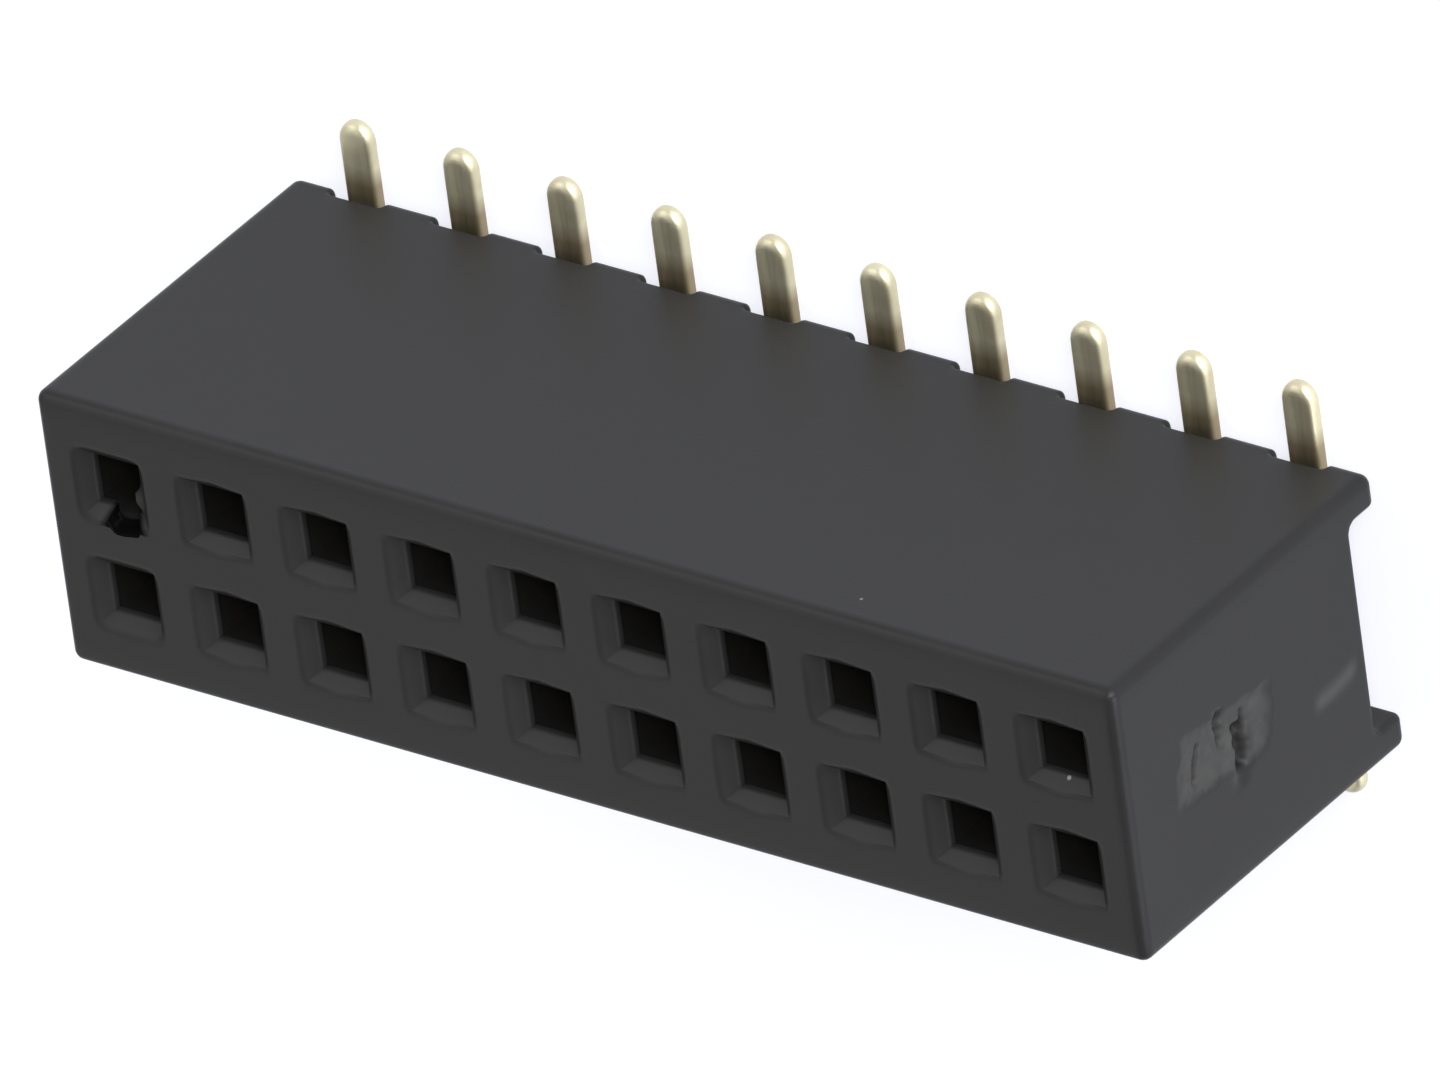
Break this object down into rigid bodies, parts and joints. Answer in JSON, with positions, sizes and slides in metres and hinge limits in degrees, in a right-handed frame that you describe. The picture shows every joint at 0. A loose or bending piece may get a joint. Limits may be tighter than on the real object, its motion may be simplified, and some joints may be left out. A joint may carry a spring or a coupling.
{
  "type": "surface-mount pin socket strip",
  "caption": "Low two-row surface-mount socket strip on a fine pitch: black moulded insulator, funnelled square pin openings and flat solder feet along both long sides.",
  "frame": {"origin": "centre of the solder plane, which the undersides of all the solder feet lie on", "axes": "+X along the rows towards contact 10, +Y across towards row a, +Z out of the mating face, away from the board"},
  "size_m": [0.013, 0.0048, 0.0046],
  "materials": {
    "insulator": "moulded, matt, glass filled",
    "contact_plating": "thin pale gold over nickel on phosphor bronze, satin"
  },
  "bodies": {
    "root": {"housing": "insulator", "contact_a1": "contact_plating", "contact_a2": "contact_plating", "contact_a3": "contact_plating", "contact_a4": "contact_plating", "contact_a5": "contact_plating", "contact_a6": "contact_plating", "contact_a7": "contact_plating", "contact_a8": "contact_plating", "contact_a9": "contact_plating", "contact_a10": "contact_plating", "contact_b1": "contact_plating", "contact_b2": "contact_plating", "contact_b3": "contact_plating", "contact_b4": "contact_plating", "contact_b5": "contact_plating", "contact_b6": "contact_plating", "contact_b7": "contact_plating", "contact_b8": "contact_plating", "contact_b9": "contact_plating", "contact_b10": "contact_plating"}
  },
  "joints": []
}
